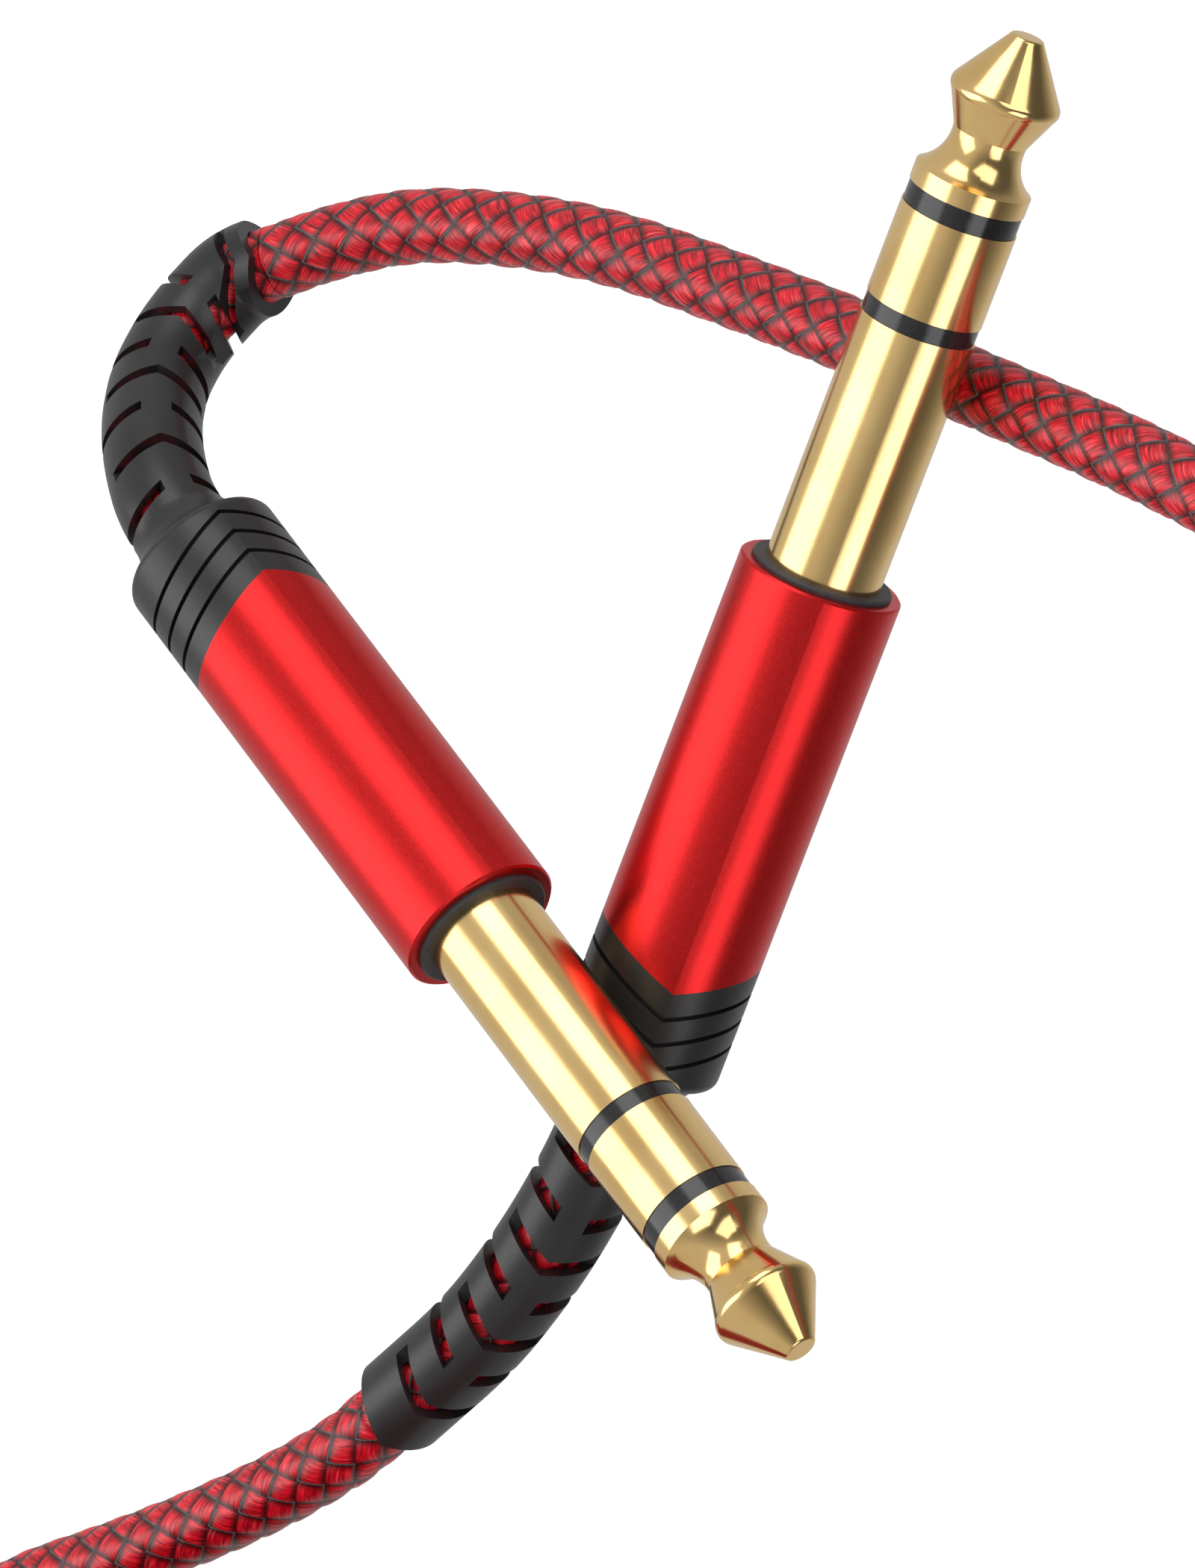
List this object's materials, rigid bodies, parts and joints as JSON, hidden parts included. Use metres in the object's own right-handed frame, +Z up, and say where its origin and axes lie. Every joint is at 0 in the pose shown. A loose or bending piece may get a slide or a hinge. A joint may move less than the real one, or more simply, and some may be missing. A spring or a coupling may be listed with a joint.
{
  "type": "instrument cable",
  "caption": "Braided instrument cable with straight three-contact jack plugs, metal shells and slotted bend-relief boots, most of its length wound in a coil.",
  "frame": {"origin": "On the surface the cable lies on, under the middle of the box round the two plugs with their boots. The free cord and its coil are left out of that box.", "axes": "+X runs along plug B from its boot to its tip, within the floor plane; +Y is level and square to it, towards plug A's boot; +Z is up from the surface."},
  "size_m": [0.1654, 0.1012, 0.0182],
  "materials": {
    "gold": "polished gold plating",
    "insulator": "glossy dark grey",
    "disc": "matte dark grey",
    "shell": "satin red anodised",
    "tinned_lug": "tinned",
    "core_white": "extruded",
    "core_dark": "extruded",
    "solder": "solder",
    "carrier": "moulded",
    "boot": "matte moulded",
    "braid": "woven filament with thin dark threads"
  },
  "bodies": {
    "root": {"plug_a_tip_contact": "gold", "plug_a_tip_insulator": "insulator", "plug_a_ring_contact": "gold", "plug_a_ring_insulator": "insulator", "plug_a_sleeve_contact": "gold", "plug_a_front_disc": "disc", "plug_a_shell": "shell", "plug_a_sleeve_lug": "tinned_lug", "plug_a_ring_lug": "tinned_lug", "plug_a_tip_lug": "tinned_lug", "plug_a_tip_wire": "core_white", "plug_a_ring_wire": "core_white", "plug_a_ground_wire": "core_dark", "plug_a_solder_joints": "solder", "plug_a_inner_moulding": "carrier", "plug_a_boot": "boot", "plug_a_cable_end": "braid", "plug_b_tip_contact": "gold", "plug_b_tip_insulator": "insulator", "plug_b_ring_contact": "gold", "plug_b_ring_insulator": "insulator", "plug_b_sleeve_contact": "gold", "plug_b_front_disc": "disc", "plug_b_shell": "shell", "plug_b_sleeve_lug": "tinned_lug", "plug_b_ring_lug": "tinned_lug", "plug_b_tip_lug": "tinned_lug", "plug_b_tip_wire": "core_white", "plug_b_ring_wire": "core_white", "plug_b_ground_wire": "core_dark", "plug_b_solder_joints": "solder", "plug_b_inner_moulding": "carrier", "plug_b_boot": "boot", "plug_b_cable_end": "braid", "cord_lead_a": "braid", "cord_lead_b": "braid", "cord_coil": "braid"}
  },
  "joints": []
}
